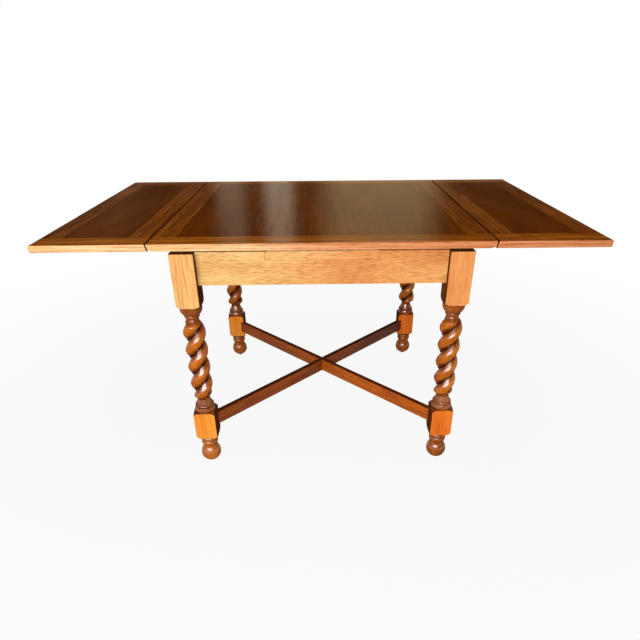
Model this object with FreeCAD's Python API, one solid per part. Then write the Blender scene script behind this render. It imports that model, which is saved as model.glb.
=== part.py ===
import FreeCAD, Part
import math
import os
from FreeCAD import Vector

# Draw-leaf table. Millimetres, +Z up, origin on the floor under the middle of the table.
# X runs along the way the leaves draw out, Y from the front (-) to the back (+).

# Overall sizes
table_height = 762.0
closed_length = 914.0
open_length = 1524.0
table_width = 914.0

# Loose top and leaves
top_thickness = 19.0
leaf_thickness = 19.0
leaf_gap = 3.5              # between a drawn leaf and the end of the top
joint_bevel = 4.0           # how far the top's end slopes in towards its underside
end_relief_height = 4.0     # easing under each end of the top, so that a leaf can pass below
end_relief_length = 13.0
leaf_lip = 2.0              # eased upper arris along the leaf's inner edge
end_border = 64.0
side_border = 68.0
panel_arris = 1.2           # sloped upper edge of a panel where it meets its border
edge_round = 1.5
corner_round = 7.0
leaf_slack = 0.5            # above and below a closed leaf

# Legs
end_overhang = 41.5         # from the end of the closed top to the face of the post
side_overhang = 39.5        # from the front of the top to the face of the post
leg_section = 67.0
leg_arris = 1.5             # eased edges of the square parts
post_length = 158.0
shoulder_height = 12.0      # rounded corners where the square meets the turning
shoulder_radius = 37.0
shoulder_bulge = 2.6
collar_height = 27.5
collar_edge = 31.0
collar_radius = 32.0
collar_foot = 24.0
ring_height = 9.0
ring_edge = 20.8
ring_radius = 22.8
upper_cove_height = 6.0
upper_cove_hollow = 0.4
neck_radius = 18.6
bell_height = 19.0
bell_radius = 25.4
bell_bulge = 0.2
bead_height = 9.0
bead_edge = 26.4
bead_radius = 29.4
base_height = 15.0          # the spreading foot of the bell, down to the block
base_edge = 28.8
base_bulge = 31.8
base_radius = 33.2
block_height = 99.0
foot_quirk_height = 6.0
foot_quirk_radius = 24.0
foot_collar_height = 13.0
foot_collar_edge = 25.6
foot_collar_radius = 28.2
foot_ring_height = 17.0
foot_ring_edge = 23.4
foot_ring_radius = 27.0
waist_height = 11.0
waist_radius = 21.6
ball_neck_radius = 22.6
ball_radius = 32.0
ball_upper_height = 25.0    # from the widest part of the ball up to its neck
ball_lower_height = 28.0    # from the widest part down to the glide
ball_foot_radius = 15.0

# Double barley twist: two round strands wound up the leg, right-handed
twist_lead = 116.0
ridge_radius = 33.0         # from the leg's axis to the back of a strand
strand_radius = 22.6        # of the round strand itself
twist_fade = 19.0           # length over which the strands grow out of the neck
twist_neck_step = 0.9       # how much the turned necks stand proud of the carving
front_left_drop = 90.5      # from each leg's post down to where its strands first stand out sideways
front_right_drop = 77.5
back_left_drop = 77.0
back_right_drop = 51.0
sections_per_turn = 24
points_per_strand = 11

# Foot glides
glide_height = 7.0
glide_radius = 10.0
glide_flat_radius = 7.0
glide_bulge = 0.9
glide_spike_radius = 2.5
glide_spike_length = 18.0

# Rails
rail_height = 95.0
rail_thickness = 22.0
rail_setback = 20.0         # from the face of the post to the face of the rail
tenon_thickness = 10.0
tenon_wall = 3.0            # leg wood between the two tenons in a post
tenon_shoulder = 14.0       # above and below the tenon
bearer_margin = 8.0         # how far a bearer runs out past the centre board on each side
bearer_height = 25.0

# Guide rails and centre board
guide_thickness = 22.0
guide_inset = 38.0          # from the board's long edge to the middle of a guide rail
guide_web = 14.0            # wood left under the deepest notch
guide_tenon_length = 12.0
guide_tenon_thickness = 10.0
guide_tenon_shoulder = 10.0
board_gap = 1.5             # from the centre board to a closed leaf's inner edge
board_screw_inset = 36.0    # from the board's long edge to its screws
seat_gap = 0.3              # from the centre board to the top that rests on it

# Lopers
loper_width = 32.0
loper_depth = 42.0
loper_inset = 31.5          # from the leaf's outer end to the loper's
loper_end = 12.0            # loper wood beyond its stop peg
right_loper_y = 200.0       # from the middle of the table to a right-hand loper
loper_pass = 12.0           # between a left-hand and a right-hand loper as they pass
slide_gap = 0.4             # around a loper in its notches
stop_peg_radius = 6.0
stop_peg_drop = 12.0        # how far the stop peg stands out below the loper

# Stretchers
stretcher_height = 46.0
stretcher_thickness = 18.0
stretcher_rise = 23.5       # from the bottom of the leg's block to the stretcher
stretcher_arris = 1.5       # eased long edges
stretcher_dowel_radius = 4.0
stretcher_dowel_length = 50.0

# Corner blocks
corner_block_leg = 70.0
corner_block_height = 40.0
corner_block_rise = 14.0    # from the rail's lower edge to the block

# Locating pegs under the top
peg_radius = 11.0
peg_socket = 10.0
peg_drop = 17.0
peg_y = 180.0
peg_clearance = 1.0

# Wood screws
screw_radius = 2.5
screw_head_radius = 5.0
screw_head_height = 3.5
screw_bite = 12.0           # depth in the piece that the point holds in
loper_screw_neck = 14.0     # loper wood between the screw's head and the leaf
loper_screw_inset = 45.0    # from the loper's outer end to the first screw
loper_screw_spacing = 150.0

fit = 0.1                   # glue room around tenons, bearers and dowels
overcut = 1.0               # how far a cut runs on past the wood
same_place = 1e-6           # nearer than this counts as the same place

# Levels
top_under = table_height - top_thickness
frame_top = top_under - leaf_thickness - 2 * leaf_slack
rail_bottom = frame_top - rail_height
post_bottom = frame_top - post_length
twist_top = post_bottom - collar_height - ring_height - upper_cove_height
ball_widest = glide_height + ball_lower_height
waist_bottom = ball_widest + ball_upper_height
foot_ring_bottom = waist_bottom + waist_height
foot_collar_bottom = foot_ring_bottom + foot_ring_height
foot_collar_top = foot_collar_bottom + foot_collar_height
block_bottom = foot_collar_top + foot_quirk_height
block_top = block_bottom + block_height
twist_bottom = block_top + base_height + bead_height + bell_height
leaf_under = table_height - leaf_thickness
stretcher_bottom = block_bottom + stretcher_rise

# Plan
top_end = closed_length / 2
top_side = table_width / 2
leaf_inner = top_end + leaf_gap
leaf_outer = open_length / 2
leaf_travel = leaf_outer - top_end
leaf_rise = top_thickness + leaf_slack
slope = leaf_rise / leaf_travel
post_half = leg_section / 2
leg_x = top_end - end_overhang - post_half
leg_y = top_side - side_overhang - post_half
post_in_x = leg_x - post_half
post_in_y = leg_y - post_half
rail_out_x = leg_x + post_half - rail_setback
rail_out_y = leg_y + post_half - rail_setback
rail_in_x = rail_out_x - rail_thickness
rail_in_y = rail_out_y - rail_thickness
tenon_length = (leg_section - rail_setback - rail_thickness / 2) - tenon_thickness / 2 - tenon_wall
left_loper_y = right_loper_y + loper_width + loper_pass
board_half = leaf_inner - joint_bevel - leaf_travel - board_gap
board_top = top_under - seat_gap
guide_offset = board_half - guide_inset
bearer_half = board_half + bearer_margin

# The straight edges of a loper lie along its slide, so these two lines stay where they are
loper_line_x = board_half
loper_line_z = frame_top - slide_gap

SIDES = {"left": -1, "right": 1}
ENDS = {"front": -1, "back": 1}
loper_y = {"left": left_loper_y, "right": right_loper_y}
strand_drops = {"front_left": front_left_drop, "front_right": front_right_drop,
                "back_left": back_left_drop, "back_right": back_right_drop}


def block(x0, x1, y0, y1, z0, z1):
    """A box between two corners, given in either order."""
    low = Vector(min(x0, x1), min(y0, y1), min(z0, z1))
    return Part.makeBox(abs(x1 - x0), abs(y1 - y0), abs(z1 - z0), low)


def prism(points, direction):
    """A flat outline pushed along a direction."""
    return Part.Face(Part.makePolygon(points + points[:1])).extrude(direction)


def turned(outline):
    """A turning about Z. Each stop is (radius, z), or (radius, z, middle radius) for a round cut."""
    edges = []
    start = Vector(0, 0, outline[0][1])
    stops = [(0.0, outline[0][1])] + outline + [(0.0, outline[-1][1])]
    for stop in stops[1:]:
        end = Vector(stop[0], 0, stop[1])
        if len(stop) == 3:
            middle = Vector(stop[2], 0, (start.z + end.z) / 2)
            edges.append(Part.Arc(start, middle, end).toShape())
        else:
            edges.append(Part.makeLine(start, end))
        start = end
    edges.append(Part.makeLine(start, Vector(0, 0, outline[0][1])))
    face = Part.Face(Part.Wire(edges))
    return face.revolve(Vector(0, 0, 0), Vector(0, 0, 1), 360)


def rod(radius, start, end):
    """A round bar from one point to another."""
    along = end - start
    return Part.makeCylinder(radius, along.Length, start, along)


def wood_screw(seat, point):
    """A countersunk screw: seat is the middle of its head's face, point is its tip."""
    along = (point - seat).normalize()
    head = Part.makeCone(screw_head_radius, screw_radius, screw_head_height, seat, along)
    return head.fuse(rod(screw_radius, seat, point)).removeSplitter()


def export(name, *solids):
    """One file per piece; like fasteners share one."""
    shape = solids[0] if len(solids) == 1 else Part.makeCompound(list(solids))
    shape.exportStep(os.path.join("parts", name + ".step"))


# Legs: each turned from one square of oak, with the twist carved between two necks

def strand_edge(strand, z, turn):
    """Half of the twist's level cut: the outside of one round strand, from groove to groove."""
    grown = min(1.0, (z - twist_bottom) / twist_fade, (twist_top - z) / twist_fade)
    grown = grown * grown * (3 - 2 * grown)
    radius = twist_neck + grown * (strand_radius - twist_neck)
    off_axis = grown * (ridge_radius - strand_radius)
    half_sweep = math.pi - math.acos(off_axis / radius)
    heading = turn + math.pi * strand
    middle = Vector(math.cos(heading), math.sin(heading), 0) * off_axis + Vector(0, 0, z)
    points = []
    for i in range(points_per_strand):
        around = heading + half_sweep * (2 * i / (points_per_strand - 1) - 1)
        points.append(middle + Vector(math.cos(around), math.sin(around), 0) * radius)
    ends = [heading + math.pi / 2 - half_sweep, heading + math.pi / 2 + half_sweep]
    tangents = [Vector(math.cos(end), math.sin(end), 0) for end in ends]
    curve = Part.BSplineCurve()
    curve.interpolate(Points=points, InitialTangent=tangents[0], FinalTangent=tangents[1])
    return curve.toShape()


def twisted_shaft(strand_drop):
    """The carved part of a leg, lofted through level cuts that turn as they rise."""
    length = twist_top - twist_bottom
    steps = math.ceil(length / twist_lead * sections_per_turn)
    cuts = []
    for i in range(steps + 1):
        z = twist_bottom + length * i / steps
        turn = 2 * math.pi * (z - post_bottom + strand_drop) / twist_lead
        cuts.append(Part.Wire([strand_edge(0, z, turn), strand_edge(1, z, turn)]))
    return Part.makeLoft(cuts, True, False)


def square_length(z0, z1, round_top, round_bottom):
    """A square part of the leg whose corners are rounded over where the turning starts."""
    square = block(-post_half, post_half, -post_half, post_half, z0, z1)
    upright = [edge for edge in square.Edges if edge.BoundBox.ZLength > (z1 - z0) / 2]
    square = square.makeFillet(leg_arris, upright)
    corner = post_half * math.sqrt(2) + overcut
    rounded = (corner + shoulder_radius) / 2 + shoulder_bulge
    outline = [(corner, z1), (corner, z0)]
    if round_top:
        outline[:1] = [(shoulder_radius, z1), (corner, z1 - shoulder_height, rounded)]
    if round_bottom:
        outline[-1:] = [(corner, z0 + shoulder_height), (shoulder_radius, z0, rounded)]
    return square.common(turned(outline))


twist_neck = neck_radius - twist_neck_step
collar_bottom = post_bottom - collar_height
ring_bottom = collar_bottom - ring_height
upper_turning = turned([
    (collar_edge, post_bottom),
    (collar_foot, collar_bottom, collar_radius),
    (ring_edge, collar_bottom),
    (ring_edge, ring_bottom, ring_radius),
    (neck_radius, twist_top, (ring_edge + neck_radius) / 2 - upper_cove_hollow)])

bell_bottom = twist_bottom - bell_height
bead_bottom = bell_bottom - bead_height
lower_turning = turned([
    (neck_radius, twist_bottom),
    (bell_radius, bell_bottom, (neck_radius + bell_radius) / 2 + bell_bulge),
    (bead_edge, bell_bottom),
    (bead_edge, bead_bottom, bead_radius),
    (base_edge, bead_bottom),
    (base_radius, block_top, base_bulge)])


def swell(edge_radius, widest_radius, height):
    """Middle radius of a round cut that leaves the widest part straight up or down."""
    drop = widest_radius - edge_radius
    curve = (height * height + drop * drop) / (2 * drop)
    return widest_radius - curve + math.sqrt(curve * curve - height * height / 4)


foot_turning = turned([
    (foot_quirk_radius, block_bottom),
    (foot_quirk_radius, foot_collar_top),
    (foot_collar_edge, foot_collar_top),
    (foot_collar_edge, foot_collar_bottom, foot_collar_radius),
    (foot_ring_edge, foot_collar_bottom),
    (foot_ring_edge, foot_ring_bottom, foot_ring_radius),
    (ball_neck_radius, waist_bottom, waist_radius),
    (ball_radius, ball_widest, swell(ball_neck_radius, ball_radius, ball_upper_height)),
    (ball_foot_radius, glide_height, swell(ball_foot_radius, ball_radius, ball_lower_height))])
spike_hole = rod(glide_spike_radius, Vector(0, 0, glide_height),
                 Vector(0, 0, glide_height + glide_spike_length))

leg_block = square_length(block_bottom, block_top, True, True)
leg_post = square_length(post_bottom, frame_top, False, True)

tenon_z0 = rail_bottom + tenon_shoulder
tenon_z1 = frame_top - tenon_shoulder
rail_mid_x = rail_out_x - rail_thickness / 2
rail_mid_y = rail_out_y - rail_thickness / 2
tenon_half = tenon_thickness / 2


def side_tenon(side, end, room):
    """The tongue of a front or back rail in a post; room is the glue room around it."""
    return block(side * (post_in_x - room), side * (post_in_x + tenon_length + room),
                 end * (rail_mid_y - tenon_half - room), end * (rail_mid_y + tenon_half + room),
                 tenon_z0 - room, tenon_z1 + room)


def end_tenon(side, end, room):
    """The tongue of an end rail in a post."""
    return block(side * (rail_mid_x - tenon_half - room), side * (rail_mid_x + tenon_half + room),
                 end * (post_in_y - room), end * (post_in_y + tenon_length + room),
                 tenon_z0 - room, tenon_z1 + room)


def inward(side, end):
    """Level direction from a leg towards the middle of the table."""
    return Vector(-side * leg_x, -end * leg_y, 0).normalize()


stretcher_mid = stretcher_bottom + stretcher_height / 2
corner_block_z0 = rail_bottom + corner_block_rise
corner_screw_z = corner_block_z0 + corner_block_height / 2


def stretcher_dowel(side, end):
    """A dowel half in the leg's block and half in the stretcher's end."""
    corner = Vector(side * post_in_x, end * post_in_y, stretcher_mid)
    half = inward(side, end) * (stretcher_dowel_length / 2)
    return rod(stretcher_dowel_radius, corner - half, corner + half)


def corner_block_outline(side, end):
    """Plan of a corner block, fitted round the post's inner corner."""
    far_x = post_in_x - corner_block_leg
    far_y = post_in_y - corner_block_leg
    plan = [(post_in_x - fit, rail_in_y), (far_x, rail_in_y), (rail_in_x, far_y),
            (rail_in_x, post_in_y - fit), (post_in_x - fit, post_in_y - fit)]
    return [Vector(side * x, end * y, corner_block_z0) for x, y in plan]


def corner_screw(side, end):
    """A screw through the middle of a corner block's long face into the post's corner."""
    outline = corner_block_outline(side, end)
    seat = (outline[1] + outline[2]) * 0.5
    seat.z = corner_screw_z
    corner = Vector(outline[4].x, outline[4].y, corner_screw_z)
    tip = corner - inward(side, end) * screw_bite
    return seat, tip


def leg(side, end, strand_drop):
    """A leg in its place, with its mortises, dowel hole and screw hole."""
    shaft = twisted_shaft(strand_drop)
    whole = leg_post.multiFuse([upper_turning, shaft, lower_turning, leg_block, foot_turning])
    whole = whole.cut(spike_hole)
    whole.translate(Vector(side * leg_x, end * leg_y, 0))
    seat, tip = corner_screw(side, end)
    holes = [side_tenon(side, end, fit), end_tenon(side, end, fit),
             stretcher_dowel(side, end), rod(screw_radius, seat, tip)]
    return whole.cut(Part.makeCompound(holes))


def glide(side, end):
    """A domed steel glide with a spike driven into the foot."""
    dome = turned([(glide_radius, glide_height),
                   (glide_flat_radius, 0.0, (glide_radius + glide_flat_radius) / 2 + glide_bulge)])
    spike = rod(glide_spike_radius, Vector(0, 0, glide_height),
                Vector(0, 0, glide_height + glide_spike_length))
    whole = dome.fuse(spike).removeSplitter()
    whole.translate(Vector(side * leg_x, end * leg_y, 0))
    return whole


# Lopers: tapered runners under the leaves, which ride in notches and lift a leaf as it is drawn

def loper_edge(x):
    """Height of the straight upper edge of a loper."""
    return loper_line_z + (x - loper_line_x) * slope


guide_in = guide_offset - guide_thickness / 2
guide_out = guide_offset + guide_thickness / 2
stop_peg_x = guide_in - slide_gap - stop_peg_radius
stop_peg_room = stop_peg_drop + stop_peg_radius * slope
loper_inner = stop_peg_x - stop_peg_radius - loper_end
loper_outer = leaf_outer - loper_inset
taper_start = loper_line_x + (leaf_under - loper_line_z) / slope
deepest_notch = loper_edge(-guide_out) - loper_depth - slide_gap - stop_peg_room
guide_bottom = deepest_notch - guide_web


def loper_channel(side, y, spare):
    """The room that a sliding loper takes up, with spare below it for its stop peg."""
    far_in = loper_inner - leaf_travel - overcut
    far_out = loper_outer + overcut
    points = [Vector(side * x, y - loper_width / 2 - slide_gap, loper_edge(x) + drop)
              for x, drop in ((far_in, rail_height), (far_out, rail_height),
                              (far_out, -loper_depth - slide_gap - spare),
                              (far_in, -loper_depth - slide_gap - spare))]
    return prism(points, Vector(0, loper_width + 2 * slide_gap, 0))


def loper_screw_spots(side, y):
    """Seat and tip of the screws that hold a loper to its leaf, from below."""
    first = loper_outer - loper_screw_inset
    return [(Vector(side * x, y, leaf_under - loper_screw_neck), Vector(side * x, y, leaf_under + screw_bite))
            for x in (first, first - loper_screw_spacing)]


def stop_peg(side, y):
    """A peg through the loper's inner end; it meets the guide rail when the leaf is drawn."""
    top = loper_edge(stop_peg_x - stop_peg_radius) - slide_gap
    bottom = loper_edge(stop_peg_x) - loper_depth - stop_peg_drop
    return rod(stop_peg_radius, Vector(side * stop_peg_x, y, bottom), Vector(side * stop_peg_x, y, top))


def loper(side, y):
    """A loper with its upper edge cut level where the leaf sits on it."""
    points = [(loper_inner, loper_edge(loper_inner)), (taper_start, leaf_under), (loper_outer, leaf_under),
              (loper_outer, loper_edge(loper_outer) - loper_depth),
              (loper_inner, loper_edge(loper_inner) - loper_depth)]
    outline = [Vector(side * x, y - loper_width / 2, z) for x, z in points]
    whole = prism(outline, Vector(0, loper_width, 0))
    holes = [stop_peg(side, y)]
    for seat, tip in loper_screw_spots(side, y):
        holes.append(wood_screw(seat, tip))
        holes.append(rod(screw_head_radius, seat, seat - Vector(0, 0, loper_depth)))
    return whole.cut(Part.makeCompound(holes))


# Rails: oak boards tenoned into the posts, flush with their tops

guide_tenon_z0 = max(rail_bottom, guide_bottom) + guide_tenon_shoulder
guide_tenon_z1 = frame_top - bearer_height - guide_tenon_shoulder


def guide_tenon(side, end, room):
    """The stub tongue of a guide rail in the front or back rail."""
    half = guide_tenon_thickness / 2 + room
    return block(side * guide_offset - half, side * guide_offset + half,
                 end * (rail_in_y - room), end * (rail_in_y + guide_tenon_length + room),
                 guide_tenon_z0 - room, guide_tenon_z1 + room)


def side_rail(end):
    """The front or back rail, cut away on top for its bearer."""
    whole = block(-post_in_x, post_in_x, end * rail_in_y, end * rail_out_y, rail_bottom, frame_top)
    whole = whole.multiFuse([side_tenon(side, end, 0) for side in SIDES.values()]).removeSplitter()
    notch = block(-bearer_half - fit, bearer_half + fit, end * (rail_in_y - overcut),
                  end * (rail_out_y + overcut), frame_top - bearer_height, frame_top + overcut)
    mortises = [guide_tenon(side, end, fit) for side in SIDES.values()]
    return whole.cut(Part.makeCompound([notch] + mortises))


def board_screw_spots(end):
    """Seat and tip of the screws that hold the centre board to a bearer."""
    x = board_half - board_screw_inset
    y = end * rail_mid_y
    return [(Vector(side * x, y, board_top), Vector(side * x, y, frame_top - screw_bite))
            for side in SIDES.values()]


def bearer(end):
    """The piece let into the rail, which the centre board is screwed to."""
    whole = block(-bearer_half, bearer_half, end * rail_in_y, end * rail_out_y,
                  frame_top - bearer_height, frame_top)
    return whole.cut(Part.makeCompound([wood_screw(*spot) for spot in board_screw_spots(end)]))


def end_rail(side, ys):
    """An end rail with a sloping notch for each loper of its leaf."""
    whole = block(side * rail_in_x, side * rail_out_x, -post_in_y, post_in_y, rail_bottom, frame_top)
    whole = whole.multiFuse([end_tenon(side, end, 0) for end in ENDS.values()]).removeSplitter()
    return whole.cut(Part.makeCompound([loper_channel(side, y, 0) for y in ys]))


def guide_rail(side):
    """A cross rail under the centre board; the far leaf's notches are deeper, for the stop pegs."""
    x = side * guide_offset
    whole = block(x - guide_thickness / 2, x + guide_thickness / 2, -rail_in_y, rail_in_y,
                  guide_bottom, frame_top)
    whole = whole.multiFuse([guide_tenon(side, end, 0) for end in ENDS.values()]).removeSplitter()
    channels = []
    for name, leaf_side in SIDES.items():
        spare = 0 if leaf_side == side else stop_peg_room
        channels += [loper_channel(leaf_side, end * loper_y[name], spare) for end in ENDS.values()]
    return whole.cut(Part.makeCompound(channels))


def centre_board():
    """The fixed board between the closed leaves, bored for the top's pegs."""
    whole = block(-board_half, board_half, -rail_out_y, rail_out_y, frame_top, board_top)
    holes = [rod(peg_radius + peg_clearance, Vector(0, end * peg_y, frame_top),
                 Vector(0, end * peg_y, board_top)) for end in ENDS.values()]
    for end in ENDS.values():
        holes += [wood_screw(*spot) for spot in board_screw_spots(end)]
    return whole.cut(Part.makeCompound(holes))


# Stretchers: two flat bars halved where they cross, their ends cut to sit over the blocks' corners

crossing_screw = (Vector(0, 0, stretcher_bottom),
                  Vector(0, 0, stretcher_mid + screw_bite))


def diagonal_bar(side, length, thickness, z0, height):
    """A flat bar on edge, its middle over the table's middle, along the diagonal of a front leg."""
    along = inward(side, -1) * (length / 2)
    across = Vector(-along.y, along.x, 0).normalize() * (thickness / 2)
    corners = [along + across, along - across, -along - across, -along + across]
    return prism([corner + Vector(0, 0, z0) for corner in corners], Vector(0, 0, height))


def stretcher(side, cut_above):
    """The bar from a front leg to the back leg on the other side, halved at its middle."""
    length = 2 * math.hypot(post_in_x, post_in_y) + stretcher_thickness
    whole = diagonal_bar(side, length, stretcher_thickness, stretcher_bottom, stretcher_height)
    long_edges = [edge for edge in whole.Edges if edge.Length > length / 2]
    whole = whole.makeFillet(stretcher_arris, long_edges)
    cut_z = stretcher_mid if cut_above else stretcher_bottom - overcut
    cut_height = stretcher_height / 2 + overcut
    holes = [diagonal_bar(-side, length, stretcher_thickness + 2 * fit, cut_z, cut_height),
             wood_screw(*crossing_screw)]
    for leg_side, end in ((side, -1), (-side, 1)):
        holes.append(block(leg_side * post_in_x, leg_side * (post_in_x + leg_section),
                           end * post_in_y, end * (post_in_y + leg_section), block_bottom, block_top))
        holes.append(stretcher_dowel(leg_side, end))
    return whole.cut(Part.makeCompound(holes))


def corner_block(side, end):
    """A glued block that braces two rails and the post between them."""
    whole = prism(corner_block_outline(side, end), Vector(0, 0, corner_block_height))
    return whole.cut(wood_screw(*corner_screw(side, end)))


# Loose top: a panel in a border, bevelled and eased at the ends where the leaves pass under it

def rounded_slab(outline, upper, lower):
    """A slab of the table's width with its long edges eased; outline is its end view."""
    slab = prism([Vector(x, -top_side, z) for x, z in outline], Vector(0, table_width, 0))
    long_edges = [edge for edge in slab.Edges
                  if abs(abs(edge.CenterOfMass.y) - top_side) < same_place
                  and min(abs(edge.CenterOfMass.z - upper), abs(edge.CenterOfMass.z - lower)) < same_place]
    return slab.makeFillet(edge_round, long_edges)


def framed(slab, name, ends):
    """A slab parted into front and back strips, two end strips and the panel between them."""
    inner_y = top_side - side_border
    x0 = slab.BoundBox.XMin - overcut
    x1 = slab.BoundBox.XMax + overcut
    (low_name, low_x), (high_name, high_x) = ends
    lanes = {
        "front_border": (x0, x1, -top_side - overcut, -inner_y),
        "back_border": (x0, x1, inner_y, top_side + overcut),
        low_name: (x0, low_x, -inner_y, inner_y),
        high_name: (high_x, x1, -inner_y, inner_y),
        "panel": (low_x, high_x, -inner_y, inner_y)}
    boards = {name + "_" + lane: slab.common(block(*bounds, frame_top, table_height + overcut))
              for lane, bounds in lanes.items()}
    panel = boards[name + "_panel"]
    upper = [edge for edge in panel.Edges if edge.BoundBox.ZMin > table_height - same_place]
    boards[name + "_panel"] = panel.makeChamfer(panel_arris, upper)
    return boards


relief_z = top_under + end_relief_height
relief_x = top_end - joint_bevel * (table_height - relief_z) / top_thickness
top_half_view = [(top_end, table_height), (relief_x, relief_z), (relief_x - end_relief_length, top_under)]
top_view = top_half_view + [(-x, z) for x, z in reversed(top_half_view)]
top_slab = rounded_slab(top_view, table_height, top_under)
border_x = top_end - end_border
top_pieces = framed(top_slab, "top", (("left_border", -border_x), ("right_border", border_x)))


def locating_peg(end):
    """A round peg glued into the top's underside, loose in the centre board."""
    return rod(peg_radius, Vector(0, end * peg_y, top_under - peg_drop),
               Vector(0, end * peg_y, top_under + peg_socket))


pegs = [locating_peg(end) for end in ENDS.values()]
top_pieces["top_panel"] = top_pieces["top_panel"].cut(Part.makeCompound(pegs))


# Leaves: framed like the top, each on two lopers

def leaf_pieces(name, side, ys):
    """The five boards of a leaf, bored for its loper screws."""
    foot = leaf_inner - joint_bevel
    lip_x = leaf_inner - joint_bevel * leaf_lip / leaf_thickness
    view = [(leaf_inner + leaf_lip, table_height), (leaf_outer, table_height), (leaf_outer, leaf_under),
            (foot, leaf_under), (lip_x, table_height - leaf_lip)]
    slab = rounded_slab([(side * x, z) for x, z in view], table_height, leaf_under)
    corners = [edge for edge in slab.Edges
               if abs(abs(edge.CenterOfMass.x) - leaf_outer) < same_place
               and edge.BoundBox.YLength < same_place]
    slab = slab.makeFillet(corner_round, corners)
    ends = [("inner_border", side * (foot + end_border)), ("outer_border", side * (leaf_outer - end_border))]
    boards = framed(slab, name, ends[::side])
    screws = [wood_screw(*spot) for y in ys for spot in loper_screw_spots(side, y)]
    for lane in ("_panel", "_inner_border", "_outer_border"):
        boards[name + lane] = boards[name + lane].cut(Part.makeCompound(screws))
    return boards, screws


os.makedirs("parts", exist_ok=True)

for end_name, end in ENDS.items():
    for side_name, side in SIDES.items():
        corner = end_name + "_" + side_name
        export(corner + "_leg", leg(side, end, strand_drops[corner]))
        export(corner + "_glide", glide(side, end))
        export(corner + "_corner_block", corner_block(side, end))
    export(end_name + "_rail", side_rail(end))
    export(end_name + "_bearer", bearer(end))

for side_name, side in SIDES.items():
    ys = [end * loper_y[side_name] for end in ENDS.values()]
    leaf = side_name + "_leaf"
    export(side_name + "_end_rail", end_rail(side, ys))
    export(side_name + "_guide_rail", guide_rail(side))
    boards, screws = leaf_pieces(leaf, side, ys)
    for board_name, board in boards.items():
        export(board_name, board)
    export(leaf + "_front_loper", loper(side, ys[0]))
    export(leaf + "_back_loper", loper(side, ys[1]))
    export(leaf + "_loper_screws", *screws)
    export(leaf + "_stop_pegs", *[stop_peg(side, y) for y in ys])

export("centre_board", centre_board())
export("board_screws", *[wood_screw(*spot) for end in ENDS.values() for spot in board_screw_spots(end)])
export("stretcher_front_left", stretcher(-1, True))
export("stretcher_front_right", stretcher(1, False))
export("stretcher_screw", wood_screw(*crossing_screw))
export("stretcher_dowels", *[stretcher_dowel(side, end) for side in SIDES.values() for end in ENDS.values()])
export("corner_block_screws", *[wood_screw(*corner_screw(side, end))
                                for side in SIDES.values() for end in ENDS.values()])
for piece_name, piece in top_pieces.items():
    export(piece_name, piece)
export("top_pegs", *pegs)
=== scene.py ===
import math

import bpy
from mathutils import Matrix, Vector


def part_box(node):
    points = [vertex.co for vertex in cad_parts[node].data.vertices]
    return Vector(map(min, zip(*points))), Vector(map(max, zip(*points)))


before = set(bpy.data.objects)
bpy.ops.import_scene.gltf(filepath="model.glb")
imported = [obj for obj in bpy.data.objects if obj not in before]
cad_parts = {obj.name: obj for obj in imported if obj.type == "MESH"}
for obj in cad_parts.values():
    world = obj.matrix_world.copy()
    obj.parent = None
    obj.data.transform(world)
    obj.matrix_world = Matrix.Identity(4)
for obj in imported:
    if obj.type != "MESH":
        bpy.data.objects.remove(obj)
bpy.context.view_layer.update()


# Legs. Each is one square of oak, left square for the rails and the stretchers, turned between them and
# carved with a double twist. The squares are golden, painted dark with shade on their inner sides and
# dark on their upward faces, with a drying check in the left posts, and the turnings are stained redder,
# with painted shade, wax and dirt dark in the grooves.

def put(tree, kind, sockets=None, **settings):
    """One shader node, with its settings and its sockets filled or linked."""
    made = tree.nodes.new(kind)
    for name, value in settings.items():
        setattr(made, name, value)
    for name, value in (sockets or {}).items():
        if isinstance(value, bpy.types.NodeSocket):
            tree.links.new(value, made.inputs[name])
        else:
            made.inputs[name].default_value = value
    return made


def calc(tree, operation, first, second=0.0):
    """Arithmetic on two values."""
    return put(tree, "ShaderNodeMath", {0: first, 1: second}, operation=operation).outputs[0]


def vector_calc(tree, operation, first, second=(0.0, 0.0, 0.0)):
    """Arithmetic on two places or directions."""
    return put(tree, "ShaderNodeVectorMath", {0: first, 1: second}, operation=operation).outputs


def stretch(tree, value, low, high, to_low=0.0, to_high=1.0):
    """A value taken smoothly from one span to another."""
    sockets = {"Value": value, "From Min": low, "From Max": high, "To Min": to_low, "To Max": to_high}
    return put(tree, "ShaderNodeMapRange", sockets, interpolation_type="SMOOTHSTEP").outputs["Result"]


def within(tree, value, span, outside, inside):
    """1 between the ends of a span, fading from a little outside to a little inside each end."""
    low, high = span
    past_low = stretch(tree, value, low - outside, low + inside)
    short_of_high = stretch(tree, value, high - inside, high + outside, 1.0, 0.0)
    return calc(tree, "MULTIPLY", past_low, short_of_high)


MIX_SHARE, MIX_FIRST, MIX_SECOND, MIXED_COLOUR = 0, 6, 7, 2


def blend_colours(tree, share, first, second, blend_type="MIX"):
    """Two colours mixed by a share."""
    sockets = {MIX_SHARE: share, MIX_FIRST: first, MIX_SECOND: second}
    mixed = put(tree, "ShaderNodeMix", sockets, data_type="RGBA", blend_type=blend_type)
    return mixed.outputs[MIXED_COLOUR]


def colour(red, green, blue):
    """A colour given as it looks on a screen, from 0 to 255."""
    def light(part):
        part = part / 255
        return part / 12.92 if part <= 0.04045 else ((part + 0.055) / 1.055) ** 2.4
    return (light(red), light(green), light(blue), 1.0)


def table_place(tree):
    """Where a point lies in the table: X to the right, Y to the back, Z up."""
    here = put(tree, "ShaderNodeTexCoord").outputs["Object"]
    return put(tree, "ShaderNodeSeparateXYZ", {0: here}).outputs


def face_way(tree):
    """Which way a face looks, in the same X, Y and Z."""
    facing = put(tree, "ShaderNodeTexCoord").outputs["Normal"]
    return put(tree, "ShaderNodeSeparateXYZ", {0: facing}).outputs


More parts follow.
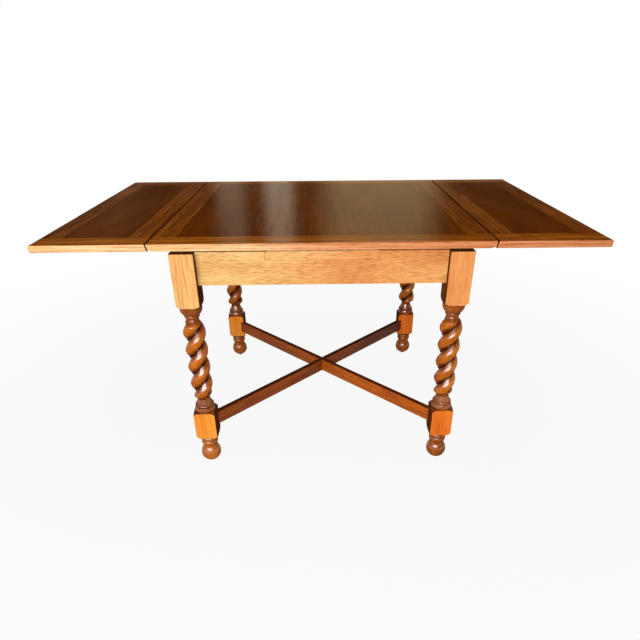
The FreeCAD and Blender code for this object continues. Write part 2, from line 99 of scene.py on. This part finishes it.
BOARD_SPREAD = (5.0, 3.0, 7.0)
GRAIN_ALONG_X = (0.0, 0.0, 0.0)
GRAIN_ALONG_Y = (0.0, 0.0, -math.pi / 2)
GRAIN_UPRIGHT = (0.0, math.pi / 2, 0.0)


def board_place(tree, turn):
    """Where a point lies in its board, with X along the grain; every board comes from another tree."""
    luck = put(tree, "ShaderNodeObjectInfo").outputs["Random"]
    cut_from = vector_calc(tree, "MULTIPLY", luck, BOARD_SPREAD)[0]
    here = put(tree, "ShaderNodeTexCoord").outputs["Object"]
    moved = vector_calc(tree, "ADD", here, cut_from)[0]
    return put(tree, "ShaderNodeMapping", {"Vector": moved, "Rotation": turn}).outputs[0]


RING_STRETCH = (0.07, 1.0, 1.0)
PORE_TURNS = (34.0, 520.0, 520.0)
CLOUD_TURNS = (2.2, 9.0, 9.0)


def streaks(tree, place, turns, detail, roughness):
    """Noise drawn out along the grain, with so many turns in a metre each way."""
    drawn_out = vector_calc(tree, "MULTIPLY", place, turns)[0]
    sockets = {"Vector": drawn_out, "Scale": 1.0, "Detail": detail, "Roughness": roughness}
    return put(tree, "ShaderNodeTexNoise", sockets).outputs["Fac"]


def oak_grain(tree, place, ring_scale=34.0, fibre_turns=(7.0, 230.0, 230.0)):
    """Growth rings, fibre, open pores and broad cloudiness of an oak board, each from 0 to 1."""
    drawn_out = vector_calc(tree, "MULTIPLY", place, RING_STRETCH)[0]
    rings = put(tree, "ShaderNodeTexWave",
                {"Vector": drawn_out, "Scale": ring_scale, "Distortion": 5.0,
                 "Detail": 3.0, "Detail Scale": 1.6, "Detail Roughness": 0.55},
                wave_type="RINGS", rings_direction="X", wave_profile="SAW").outputs["Fac"]
    fibre = streaks(tree, place, fibre_turns, detail=5.0, roughness=0.62)
    pores = streaks(tree, place, PORE_TURNS, detail=2.0, roughness=0.5)
    cloud = streaks(tree, place, CLOUD_TURNS, detail=4.0, roughness=0.55)
    early_wood = stretch(tree, rings, 0.2, 0.9, 1.0, 0.0)
    open_pores = calc(tree, "MULTIPLY", stretch(tree, pores, 0.53, 0.66), early_wood)
    return rings, fibre, open_pores, cloud


FIBRE_SHARE = 0.42
DARK_STOP, MIDDLE_STOP, PALE_STOP = 0.15, 0.5, 0.88


def stained(tree, grain, tones, figure=0.30, pore_depth=0.55):
    """Colour of a stained board: dark, middle and pale tones laid out by its grain."""
    rings, fibre, open_pores, cloud = grain
    by_ring = calc(tree, "MULTIPLY", rings, figure)
    by_fibre = calc(tree, "MULTIPLY", stretch(tree, fibre, 0.28, 0.72), FIBRE_SHARE)
    by_cloud = calc(tree, "MULTIPLY", stretch(tree, cloud, 0.25, 0.75), 1.0 - FIBRE_SHARE - figure)
    level = calc(tree, "ADD", calc(tree, "ADD", by_ring, by_fibre), by_cloud)
    ramp = put(tree, "ShaderNodeValToRGB", {"Fac": level})
    stops = ramp.color_ramp.elements
    stops[0].position = DARK_STOP
    stops[0].color = tones[0]
    stops[1].position = PALE_STOP
    stops[1].color = tones[2]
    stops.new(MIDDLE_STOP).color = tones[1]
    share = calc(tree, "MULTIPLY", open_pores, pore_depth)
    return blend_colours(tree, share, ramp.outputs["Color"], tones[0], "MULTIPLY")


PORE_DENT = 0.0003
POLISH_IOR = 1.5


def polished(material, tree, tint, grain, roughness, shine, dents=0.25):
    """The finish over a stained board: gloss that follows the fibre, dulled and dented by the pores."""
    fibre, open_pores, cloud = grain[1:]
    by_fibre = stretch(tree, fibre, 0.25, 0.75, roughness * 0.75, roughness * 1.3)
    worn = stretch(tree, cloud, 0.35, 0.75, 0.0, roughness * 0.4)
    by_pore = calc(tree, "MULTIPLY", open_pores, 0.1)
    gloss = calc(tree, "ADD", calc(tree, "ADD", by_fibre, worn), by_pore)
    height = calc(tree, "SUBTRACT", calc(tree, "MULTIPLY", fibre, 0.5), open_pores)
    dented = put(tree, "ShaderNodeBump", {"Strength": dents, "Distance": PORE_DENT, "Height": height})
    finish = put(tree, "ShaderNodeBsdfPrincipled",
                 {"Base Color": tint, "Roughness": gloss, "Normal": dented.outputs[0],
                  "IOR": POLISH_IOR, "Specular IOR Level": shine})
    tree.links.new(finish.outputs[0], tree.nodes["Material Output"].inputs["Surface"])
    return material


def waxed(tree, shine):
    """Gloss of wax that has worn dull: strong seen square on, gone at a low angle."""
    slant = put(tree, "ShaderNodeLayerWeight", {"Blend": 0.5}).outputs["Facing"]
    return stretch(tree, slant, 0.25, 0.8, shine, 0.0)


def blank_finish(name):
    """An empty material and its node tree."""
    material = bpy.data.materials.new(name)
    material.use_nodes = True
    material.node_tree.nodes.remove(material.node_tree.nodes["Principled BSDF"])
    return material, material.node_tree


def dirt_and_painted_shade(tree, tint, depth, dirt_and_shade, alone=True):
    """Wax, dirt and painted shade dark in hollows to a depth, or in the joints with other pieces too."""
    # Painted shade mixed with dirt: the colour darkens the more closely a point is closed in by surfaces
    # nearby.
    hollow = put(tree, "ShaderNodeAmbientOcclusion", {"Distance": depth}, samples=8, only_local=alone)
    share = stretch(tree, hollow.outputs["AO"], 0.45, 0.95, 1.0, 0.0)
    return blend_colours(tree, share, tint, dirt_and_shade, "MULTIPLY")


# Painted light from the left: the span across the table and the tints that darken frame and edges to the
# right.
SIDE_LIGHT_SPAN = (-0.3, 0.12)
FRAME_RIGHT_SHADE = colour(251, 213, 194)


def painted_side_light(tree, tint, right_shade):
    """Painted light and shade from the left: palest on the left, darker and redder to the right."""
    share = stretch(tree, table_place(tree)["X"], *SIDE_LIGHT_SPAN)
    return blend_colours(tree, share, tint, right_shade, "MULTIPLY")


def finish_pieces(material, names):
    """One finish for several pieces of the frame."""
    for name in names:
        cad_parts[name].data.materials.clear()
        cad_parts[name].data.materials.append(material)


CORNERS = ["front_left", "front_right", "back_left", "back_right"]
LEG_LOW, LEG_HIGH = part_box("back_right_leg")
LEG_CENTRE = ((LEG_LOW.x + LEG_HIGH.x) / 2, (LEG_LOW.y + LEG_HIGH.y) / 2, 0.0)
LEVEL_ONLY = (1.0, 1.0, 0.0)
POST_LENGTH = 0.158
POST_FOOT = LEG_HIGH.z - POST_LENGTH
POST_EDGE = 0.003
BLOCK_SPAN = (0.107, 0.206)
TWIST_SPAN = (0.258, 0.514)
STRAND_SPAN = (0.0195, 0.0315)
GROOVE_SPAN = (0.0195, 0.024)
FOOT_COLLAR = 0.01
FOOT_REDNESS = 0.45
FACED_OUT = (0.2, 0.6)
FACED_UP = (0.12, 0.4)
CLOTH_REACH = (0.15, 0.42)
CLOTH_MISSES = 0.05
CHECK_PLACE = 0.0205
CHECK_SPAN = (POST_FOOT + 0.002, POST_FOOT + 0.107)
CHECK_OPENS = 0.006
CHECK_CLOSES = 0.02
CHECK_STRENGTH = 0.6
CHECK_WIDTH = (0.0003, 0.0011)
CHECK_WAVES = 45.0
CHECK_WOBBLE = 0.002
LEG_FIBRE = (14.0, 420.0, 420.0)
LEG_GOLDEN = [colour(202, 132, 70), colour(232, 178, 111), colour(246, 212, 145)]
LEG_ORANGE = [colour(202, 102, 30), colour(242, 149, 54), colour(252, 176, 76)]
LEG_RED = [colour(114, 48, 6), colour(188, 99, 22), colour(226, 140, 48)]
LEG_BROWN = [colour(94, 42, 10), colour(148, 76, 26), colour(182, 104, 44)]
# Painted shade: the tones for the inner sides of the squares.
LEG_SHADED = [colour(62, 28, 10), colour(104, 54, 26), colour(140, 84, 46)]
# Painted shade for the grooves of the twist.
GROOVE_SHADE = colour(126, 76, 44)
CHECK_STAIN = colour(100, 52, 26)

material, tree = blank_finish("leg_oak")
grain = oak_grain(tree, board_place(tree, GRAIN_UPRIGHT), ring_scale=90.0, fibre_turns=LEG_FIBRE)
here = put(tree, "ShaderNodeTexCoord").outputs["Object"]
place = table_place(tree)
facing = face_way(tree)
level = place["Z"]

# The squares are golden or orange on their outer faces. Painted shade makes them dark on their inner
# sides, and their upward faces are dark too.
on_post = stretch(tree, level, POST_FOOT - POST_EDGE, POST_FOOT + POST_EDGE)
on_block = within(tree, level, BLOCK_SPAN, outside=0.002, inside=0.004)
square = calc(tree, "MAXIMUM", on_post, on_block)
outward = calc(tree, "MULTIPLY", facing["X"], calc(tree, "SIGN", place["X"]))
outward = calc(tree, "MAXIMUM", outward, calc(tree, "ABSOLUTE", facing["Y"]))
shown = stretch(tree, outward, *FACED_OUT)
upright = stretch(tree, facing["Z"], *FACED_UP, 1.0, 0.0)
lit_side = calc(tree, "MULTIPLY", shown, upright)
block_tint = stained(tree, grain, LEG_ORANGE, figure=0.1, pore_depth=0.3)
post_tint = stained(tree, grain, LEG_GOLDEN, figure=0.1, pore_depth=0.3)
# Painted light from the left: the squares turn darker and redder to the right.
squared = painted_side_light(tree, blend_colours(tree, on_post, block_tint, post_tint), FRAME_RIGHT_SHADE)
squared = blend_colours(tree, lit_side, stained(tree, grain, LEG_SHADED, figure=0.1), squared)

# The drying check is a thin wavering line up the left posts.
from_axis = vector_calc(tree, "SUBTRACT", vector_calc(tree, "ABSOLUTE", here)[0], LEG_CENTRE)[0]
sideways = put(tree, "ShaderNodeSeparateXYZ", {0: from_axis}).outputs["X"]
waves = {"Vector": here, "Scale": CHECK_WAVES, "Detail": 2.0}
wobble = put(tree, "ShaderNodeTexNoise", waves).outputs["Fac"]
wander = stretch(tree, wobble, 0.3, 0.7, -CHECK_WOBBLE, CHECK_WOBBLE)
from_check = calc(tree, "ADD", calc(tree, "SUBTRACT", sideways, CHECK_PLACE), wander)
check_line = stretch(tree, calc(tree, "ABSOLUTE", from_check), *CHECK_WIDTH, 1.0, 0.0)
check_foot = stretch(tree, level, CHECK_SPAN[0], CHECK_SPAN[0] + CHECK_OPENS)
check_head = stretch(tree, level, CHECK_SPAN[1] - CHECK_CLOSES, CHECK_SPAN[1], 1.0, 0.0)
on_left = stretch(tree, place["X"], -0.1, 0.1, CHECK_STRENGTH, 0.0)
on_check = calc(tree, "MULTIPLY", calc(tree, "MULTIPLY", check_foot, check_head), on_left)
check = calc(tree, "MULTIPLY", on_check, check_line)
squared = blend_colours(tree, check, squared, CHECK_STAIN, "MULTIPLY")

# The twist is the reddest of the turnings, with painted shade darkening it from the backs of the strands
# to the grooves.
out = vector_calc(tree, "LENGTH", vector_calc(tree, "MULTIPLY", from_axis, LEVEL_ONLY)[0])["Value"]
on_twist = within(tree, level, TWIST_SPAN, outside=0.008, inside=0.01)
on_foot = stretch(tree, level, BLOCK_SPAN[0] - FOOT_COLLAR, BLOCK_SPAN[0], FOOT_REDNESS, 0.0)
brown = stained(tree, grain, LEG_BROWN, figure=0.05, pore_depth=0.05)
red = stained(tree, grain, LEG_RED, figure=0.05, pore_depth=0.05)
turned = blend_colours(tree, calc(tree, "MAXIMUM", on_twist, on_foot), brown, red)
# Painted shade: the closer a point of the twist lies to the axis, the darker it is.
groove_shade = calc(tree, "MULTIPLY", on_twist, stretch(tree, out, *STRAND_SPAN, 1.0, 0.0))
turned = blend_colours(tree, groove_shade, turned, GROOVE_SHADE, "MULTIPLY")

# Wax shines where a cloth reaches: not in the grooves, on the inner sides or under the rounds.
tint = blend_colours(tree, square, turned, squared)
# Dirt and painted shade darken the hollows and the quirks of the turnings.
tint = dirt_and_painted_shade(tree, tint, depth=0.016, dirt_and_shade=colour(140, 92, 62))
tint = dirt_and_painted_shade(tree, tint, depth=0.005, dirt_and_shade=colour(88, 46, 24))
shaded_square = calc(tree, "SUBTRACT", square, calc(tree, "MULTIPLY", square, lit_side))
in_groove = calc(tree, "MULTIPLY", on_twist, stretch(tree, out, *GROOVE_SPAN, 1.0, 0.0))
reached = stretch(tree, calc(tree, "MAXIMUM", shaded_square, in_groove), 0.0, 1.0, 1.0, 0.0)
above = stretch(tree, facing["Z"], *CLOTH_REACH, CLOTH_MISSES, 1.0)
shine = calc(tree, "MULTIPLY", waxed(tree, 1.0), calc(tree, "MULTIPLY", above, reached))
finish_pieces(polished(material, tree, tint, grain, roughness=0.2, shine=shine, dents=0.0),
              [corner + "_leg" for corner in CORNERS])


# Glides. Domed steel studs, each with a spike that is driven into the end of a foot. They let the table
# slide over a floor, which has scuffed and darkened them.

def scuffed_steel(name, scuff_scale, detail, worn_span, dark, bright, dullest):
    """Bare steel, dark and dull where it is scuffed."""
    material, tree = blank_finish(name)
    here = put(tree, "ShaderNodeTexCoord").outputs["Object"]
    sockets = {"Vector": here, "Scale": scuff_scale, "Detail": detail}
    scuff = put(tree, "ShaderNodeTexNoise", sockets).outputs["Fac"]
    tint = blend_colours(tree, stretch(tree, scuff, *worn_span), dark, bright)
    roughness = stretch(tree, scuff, 0.3, 0.7, dullest, 0.3)
    steel = put(tree, "ShaderNodeBsdfPrincipled",
                {"Base Color": tint, "Metallic": 1.0, "Roughness": roughness})
    tree.links.new(steel.outputs[0], tree.nodes["Material Output"].inputs["Surface"])
    return material


GLIDE_DARK = colour(52, 46, 42)
GLIDE_BRIGHT = colour(118, 112, 106)
glide_steel = scuffed_steel("glide_steel", scuff_scale=420.0, detail=5.0, worn_span=(0.35, 0.7),
                            dark=GLIDE_DARK, bright=GLIDE_BRIGHT, dullest=0.55)
finish_pieces(glide_steel, [corner + "_glide" for corner in CORNERS])


# Rails and bearers. Oak boards tenoned into the posts, with a bearer let into the top edge of the front
# and the back rail. Rubbed golden like the posts, the grain running along each board.

RAIL_GOLDEN = [colour(190, 127, 64), colour(225, 176, 103), colour(243, 215, 144)]
RAIL_FIBRE = (42.0, 360.0, 360.0)
BEARER_LOW, BEARER_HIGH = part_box("front_bearer")
BEARER_JOINT = (0.0004, 0.0014)
BEARER_CORNER = 0.0005
BEARER_DIRT = colour(116, 62, 36)


def rail_finish(name, turn):
    """Golden oak with its grain along the board, and dirt in the joint round the bearer."""
    material, tree = blank_finish(name)
    grain = oak_grain(tree, board_place(tree, turn), ring_scale=80.0, fibre_turns=RAIL_FIBRE)
    place = table_place(tree)
    past_end = calc(tree, "SUBTRACT", calc(tree, "ABSOLUTE", place["X"]), BEARER_HIGH.x)
    past_foot = calc(tree, "SUBTRACT", place["Z"], BEARER_LOW.z)
    end_joint = calc(tree, "MULTIPLY",
                     stretch(tree, calc(tree, "ABSOLUTE", past_end), *BEARER_JOINT, 0.5, 0.0),
                     stretch(tree, past_foot, -BEARER_CORNER, BEARER_CORNER))
    foot_joint = calc(tree, "MULTIPLY",
                      stretch(tree, calc(tree, "ABSOLUTE", past_foot), *BEARER_JOINT, 0.3, 0.0),
                      stretch(tree, past_end, -BEARER_CORNER, BEARER_CORNER, 1.0, 0.0))
    tint = stained(tree, grain, RAIL_GOLDEN, figure=0.12, pore_depth=0.7)
    # Painted light from the left: the rails turn darker and redder to the right.
    tint = painted_side_light(tree, tint, FRAME_RIGHT_SHADE)
    in_joint = calc(tree, "MAXIMUM", end_joint, foot_joint)
    tint = blend_colours(tree, in_joint, tint, BEARER_DIRT, "MULTIPLY")
    # Dirt and painted shade darken the hollows and joints.
    tint = dirt_and_painted_shade(tree, tint, depth=0.01, dirt_and_shade=colour(120, 70, 44))
    return polished(material, tree, tint, grain, roughness=0.34, shine=waxed(tree, 0.4))


finish_pieces(rail_finish("rail_oak_long", GRAIN_ALONG_X),
              ["front_rail", "back_rail", "front_bearer", "back_bearer"])
finish_pieces(rail_finish("rail_oak_end", GRAIN_ALONG_Y), ["left_end_rail", "right_end_rail"])


# Corner blocks, guide rails and centre board. Planed oak that is never seen in use, left bare: the
# blocks are glued and screwed into the corners, the guide rails are tenoned between the long rails,
# and the board is screwed down on the bearers.

BARE_OAK = [colour(128, 92, 58), colour(178, 138, 94), colour(204, 168, 124)]
DUST_AND_SHADE = colour(150, 128, 108)


def bare_finish(name, turn, tones):
    """Wood straight from the plane, dry, with dust and painted shade in its hollows."""
    material, tree = blank_finish(name)
    grain = oak_grain(tree, board_place(tree, turn), ring_scale=26.0)
    # Dust and painted shade darken the hollows.
    tint = dirt_and_painted_shade(tree, stained(tree, grain, tones), depth=0.012, dirt_and_shade=DUST_AND_SHADE)
    return polished(material, tree, tint, grain, roughness=0.62, shine=0.2)


finish_pieces(bare_finish("block_oak", GRAIN_UPRIGHT, BARE_OAK),
              [corner + "_corner_block" for corner in CORNERS])
finish_pieces(bare_finish("guide_oak", GRAIN_ALONG_Y, BARE_OAK), ["left_guide_rail", "right_guide_rail"])
finish_pieces(bare_finish("board_oak", GRAIN_ALONG_Y, BARE_OAK), ["centre_board"])


# Stretchers. Two oak bars on edge from corner to corner, halved where they cross and doweled to the
# blocks of the legs. Stained as red as the turnings, with painted shade darkening them towards the back,
# the front right bar painted paler as if lit from the left, and darker on their upper edges.

STRETCHER_BROWN = [colour(86, 34, 4), colour(144, 65, 12), colour(184, 96, 26)]
# Painted light: the front right bar is given paler tones, as if lit from the left.
STRETCHER_PAINTED_LIT = [colour(106, 42, 4), colour(182, 86, 12), colour(218, 120, 28)]
STRETCHER_UPPER_DARK = colour(150, 126, 110)
FAR_SPAN = (-0.2, 0.3)
FAR_SHADE = colour(208, 200, 196)

for name, diagonal, tones in (("stretcher_front_left", -math.pi / 4, STRETCHER_BROWN),
                              ("stretcher_front_right", math.pi / 4, STRETCHER_PAINTED_LIT)):
    material, tree = blank_finish("stretcher_oak_" + name.split("_")[-1])
    grain = oak_grain(tree, board_place(tree, (0.0, 0.0, diagonal)), ring_scale=80.0)
    far = stretch(tree, table_place(tree)["Y"], *FAR_SPAN)
    tint = stained(tree, grain, tones, figure=0.12)
    tint = blend_colours(tree, far, tint, FAR_SHADE, "MULTIPLY")
    # The upper edges of the bars are darker.
    above = stretch(tree, face_way(tree)["Z"], 0.5, 0.9)
    tint = blend_colours(tree, above, tint, STRETCHER_UPPER_DARK, "MULTIPLY")
    # Dirt and painted shade darken the hollows.
    tint = dirt_and_painted_shade(tree, tint, depth=0.014, dirt_and_shade=colour(104, 60, 36))
    finish_pieces(polished(material, tree, tint, grain, roughness=0.3, shine=waxed(tree, 0.15)), [name])


# Screws. Countersunk steel wood screws, driven in until their heads are level with the wood. They hold
# the centre board, the corner blocks, the crossing of the stretchers and the lopers.

SCREW_DARK = colour(120, 112, 100)
SCREW_BRIGHT = colour(176, 172, 164)
screw_steel = scuffed_steel("screw_steel", scuff_scale=600.0, detail=4.0, worn_span=(0.3, 0.7),
                            dark=SCREW_DARK, bright=SCREW_BRIGHT, dullest=0.48)
finish_pieces(screw_steel, ["board_screws", "corner_block_screws", "stretcher_screw",
                            "left_leaf_loper_screws", "right_leaf_loper_screws"])


# Lopers, pegs and dowels. Beech: the tapered lopers that carry the leaves are waxed to run easily,
# each with a stop peg at its inner end; the top's locating pegs and the dowels are turned and bare.

BEECH = [colour(150, 104, 62), colour(196, 150, 102), colour(216, 176, 130)]
LEAVES = ["left_leaf", "right_leaf"]
finish_pieces(bare_finish("loper_beech", GRAIN_ALONG_X, BEECH),
              [leaf + end for leaf in LEAVES for end in ("_front_loper", "_back_loper")])
finish_pieces(bare_finish("peg_beech", GRAIN_UPRIGHT, BEECH),
              ["left_leaf_stop_pegs", "right_leaf_stop_pegs", "top_pegs", "stretcher_dowels"])


# Borders of the top and the leaves. Strips of figured oak round each panel, the long ones running
# through at the front and the back. French polished above; their rubbed outer edges are golden.

BORDER_BROWN = [colour(78, 32, 4), colour(126, 62, 10), colour(162, 93, 25)]
FRONT_BROWN = [colour(98, 44, 4), colour(152, 80, 10), colour(190, 116, 28)]
EDGE_GOLDEN = [colour(189, 128, 76), colour(226, 177, 124), colour(248, 214, 164)]
EDGE_RIGHT_SHADE = colour(236, 194, 181)
UNDERSIDE_BROWN = [colour(88, 56, 30), colour(132, 92, 54), colour(160, 118, 76)]
# Painted shade for the walls of the gaps between the top and the leaves.
GAP_SHADE = colour(40, 20, 10)
TOP_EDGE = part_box("top_right_border")[1].x
JOINT_SPAN = (TOP_EDGE + 0.009, TOP_EDGE + 0.011)
JOINT_DIRT_AND_SHADE = colour(62, 34, 20)
BORDER_SHINE = 0.34
UPPER_SIDE = (0.45, 0.85)


def unpolished_below(tree, tint, grain):
    """The underside of a top, stained thinly and never polished."""
    below = stretch(tree, face_way(tree)["Z"], -0.85, -0.45, 1.0, 0.0)
    return blend_colours(tree, below, tint, stained(tree, grain, UNDERSIDE_BROWN))


def border_finish(name, turn, tones):
    """Brown polish above, golden edges painted paler on the left, dirt and painted shade in the hollows,
    and painted shade dark on the gap walls between the top and the leaves.
    """
    material, tree = blank_finish(name)
    grain = oak_grain(tree, board_place(tree, turn))
    upward = stretch(tree, face_way(tree)["Z"], *UPPER_SIDE)
    # Painted light from the left: the edges turn darker and redder to the right.
    edge = painted_side_light(tree, stained(tree, grain, EDGE_GOLDEN), EDGE_RIGHT_SHADE)
    tint = blend_colours(tree, upward, edge, stained(tree, grain, tones))
    tint = unpolished_below(tree, tint, grain)
    # Dirt and painted shade darken the hollows and the joints with other pieces.
    tint = dirt_and_painted_shade(tree, tint, depth=0.012, dirt_and_shade=JOINT_DIRT_AND_SHADE, alone=False)
    # Painted shade: the side walls of the gaps between the top and the leaves are painted nearly black.
    across = calc(tree, "ABSOLUTE", table_place(tree)["X"])
    sideways = calc(tree, "ABSOLUTE", face_way(tree)["X"])
    in_joint = calc(tree, "MULTIPLY", stretch(tree, across, *JOINT_SPAN, 1.0, 0.0),
                    stretch(tree, sideways, 0.2, 0.4))
    tint = blend_colours(tree, in_joint, tint, GAP_SHADE)
    shine = calc(tree, "MULTIPLY", upward, stretch(tree, in_joint, 0.0, 1.0, BORDER_SHINE, 0.0))
    return polished(material, tree, tint, grain, roughness=0.1, shine=shine, dents=0.06)


finish_pieces(border_finish("border_oak_long", GRAIN_ALONG_X, FRONT_BROWN),
              [top + end for top in ["top"] + LEAVES for end in ("_front_border", "_back_border")])
finish_pieces(border_finish("border_oak_end", GRAIN_ALONG_Y, BORDER_BROWN),
              ["top_left_border", "top_right_border"]
              + [leaf + end for leaf in LEAVES for end in ("_inner_border", "_outer_border")])


# Panels of the top and the leaves. Oak boards jointed side by side with the grain from front to back,
# stained a deep brown and French polished to a mirror.

PANEL_DARK = [colour(70, 26, 1), colour(97, 42, 2), colour(118, 58, 6)]
PANEL_SHINE = 0.4
material, tree = blank_finish("panel_oak")
grain = oak_grain(tree, board_place(tree, GRAIN_ALONG_Y))
tint = unpolished_below(tree, stained(tree, grain, PANEL_DARK, figure=0.15), grain)
shine = stretch(tree, face_way(tree)["Z"], *UPPER_SIDE, 0.0, PANEL_SHINE)
finish_pieces(polished(material, tree, tint, grain, roughness=0.08, shine=shine, dents=0.1),
              ["top_panel", "left_leaf_panel", "right_leaf_panel"])


# Studio. A pale floor that runs out to white, a wide window behind the camera, a weak lamp at the front
# left and a broad one overhead. The polish of the top mirrors a dark far wall with a few soft pale
# panes in it.

FLOOR_HALF = 7.0
FLOOR_GREY = (0.5, 0.5, 0.5, 1.0)
FLOOR_WHITENESS = (0.92, 1.0)
SHADOW_SPAN = (0.7, 2.6)
floor_mesh = bpy.data.meshes.new("floor")
floor_mesh.from_pydata([(-FLOOR_HALF, -FLOOR_HALF, 0), (FLOOR_HALF, -FLOOR_HALF, 0),
                        (FLOOR_HALF, FLOOR_HALF, 0), (-FLOOR_HALF, FLOOR_HALF, 0)], [], [(0, 1, 2, 3)])
floor = bpy.data.objects.new("floor", floor_mesh)
bpy.context.scene.collection.objects.link(floor)


def seen_in_shine(tree):
    """1 where the background is looked at in gloss or glass."""
    path = put(tree, "ShaderNodeLightPath").outputs
    return calc(tree, "MAXIMUM", path["Is Glossy Ray"], path["Is Transmission Ray"])


def seen_straight(tree):
    """1 where the background is looked at straight."""
    return put(tree, "ShaderNodeLightPath").outputs["Is Camera Ray"]


material, tree = blank_finish("pale_floor")
matt = put(tree, "ShaderNodeBsdfDiffuse", {"Color": FLOOR_GREY})
white = put(tree, "ShaderNodeEmission", {"Strength": 1.0})
here = put(tree, "ShaderNodeTexCoord").outputs["Object"]
from_middle = vector_calc(tree, "LENGTH", here)["Value"]
seen = calc(tree, "MAXIMUM", seen_straight(tree), seen_in_shine(tree))
share = calc(tree, "MULTIPLY", seen, stretch(tree, from_middle, *SHADOW_SPAN, *FLOOR_WHITENESS))
laid = put(tree, "ShaderNodeMixShader", {0: share, 1: matt.outputs[0], 2: white.outputs[0]})
tree.links.new(laid.outputs[0], tree.nodes["Material Output"].inputs["Surface"])
floor.data.materials.append(material)

ROOM_LIGHT = (0.18, 0.155, 0.13, 1.0)
WALL_DARK = (0.045, 0.02, 0.004, 1.0)
WALL_WHITE = (1.0, 1.0, 1.0, 1.0)
WALL_FOOT = (0.07, 0.11)
WALL_BEHIND = (0.3, 0.6)
LEAST_BEHIND = 0.2
PANES = [(-0.58, -0.28, 0.1, (0.085, 0.05, 0.022, 1.0)),
         (-0.20, -0.12, 0.03, (0.28, 0.21, 0.14, 1.0)),
         (-0.11, -0.03, 0.03, (0.52, 0.43, 0.3, 1.0)),
         (-0.02, 0.26, 0.08, (0.42, 0.32, 0.15, 1.0))]

world = bpy.data.worlds.new("studio")
bpy.context.scene.world = world
world.use_nodes = True
tree = world.node_tree
direction = put(tree, "ShaderNodeTexCoord").outputs["Generated"]
way = put(tree, "ShaderNodeSeparateXYZ", {0: direction}).outputs
aside = calc(tree, "DIVIDE", way["X"], calc(tree, "MAXIMUM", way["Y"], LEAST_BEHIND))
behind = stretch(tree, way["Y"], *WALL_BEHIND)
wall = WALL_DARK
for left, right, soft, pane_tint in PANES:
    pane = calc(tree, "MULTIPLY", within(tree, aside, (left, right), outside=0.0, inside=soft), behind)
    wall = blend_colours(tree, pane, wall, pane_tint)
shiny = seen_in_shine(tree)
room = blend_colours(tree, shiny, ROOM_LIGHT, wall)
low = calc(tree, "MULTIPLY", shiny, stretch(tree, way["Z"], *WALL_FOOT, 1.0, 0.0))
room = blend_colours(tree, calc(tree, "MAXIMUM", seen_straight(tree), low), room, WALL_WHITE)
tree.links.new(room, tree.nodes["Background"].inputs["Color"])


def soft_lamp(name, place, aim, size, power):
    """A soft box turned towards a point."""
    light = bpy.data.lights.new(name, "AREA")
    light.shape = "RECTANGLE"
    light.size, light.size_y = size
    light.energy = power
    lamp = bpy.data.objects.new(name, light)
    lamp.location = place
    lamp.rotation_euler = (Vector(aim) - Vector(place)).to_track_quat("-Z", "Y").to_euler()
    bpy.context.scene.collection.objects.link(lamp)


soft_lamp("front_lamp", place=(-2.3, -2.1, 1.5), aim=(0.0, 0.0, 0.45), size=(1.8, 1.6), power=8.0)
soft_lamp("window_lamp", place=(-0.55, -2.6, 1.3), aim=(0.0, 0.0, 0.5), size=(2.4, 0.5), power=62.0)
soft_lamp("top_lamp", place=(0.3, 0.2, 3.2), aim=(0.0, 0.0, 0.6), size=(2.6, 2.6), power=37.0)


# Camera. It stands at the front, a little above the top, and looks down on the table. Its place, its
# lens and the off-centre middle of its picture come from the perspective of the photograph.

SENSOR_WIDTH = 36.0
PHOTO_SIZE = 640.0
PHOTO_FOCAL = 515.1
PHOTO_MIDDLE = (324.81, 371.85)
CAMERA_PLACE = (-0.0143, -1.7776, 1.1356)
CAMERA_AHEAD = (0.01191, 0.86723, -0.49777)
CAMERA_RIGHT = (0.99984, -0.01688, -0.0055)
ahead = Vector(CAMERA_AHEAD).normalized()
above = Vector(CAMERA_RIGHT).cross(ahead).normalized()
right = ahead.cross(above)
lens = bpy.data.cameras.new("camera")
lens.sensor_width = SENSOR_WIDTH
lens.lens = PHOTO_FOCAL / PHOTO_SIZE * SENSOR_WIDTH
lens.shift_x = (PHOTO_SIZE / 2 - PHOTO_MIDDLE[0]) / PHOTO_SIZE
lens.shift_y = (PHOTO_MIDDLE[1] - PHOTO_SIZE / 2) / PHOTO_SIZE
lens.clip_start = 0.05
camera = bpy.data.objects.new("camera", lens)
turn = Matrix((right, above, -ahead)).transposed().to_4x4()
camera.matrix_world = Matrix.Translation(CAMERA_PLACE) @ turn
bpy.context.scene.collection.objects.link(camera)
bpy.context.scene.camera = camera
bpy.context.scene.view_settings.view_transform = "Standard"
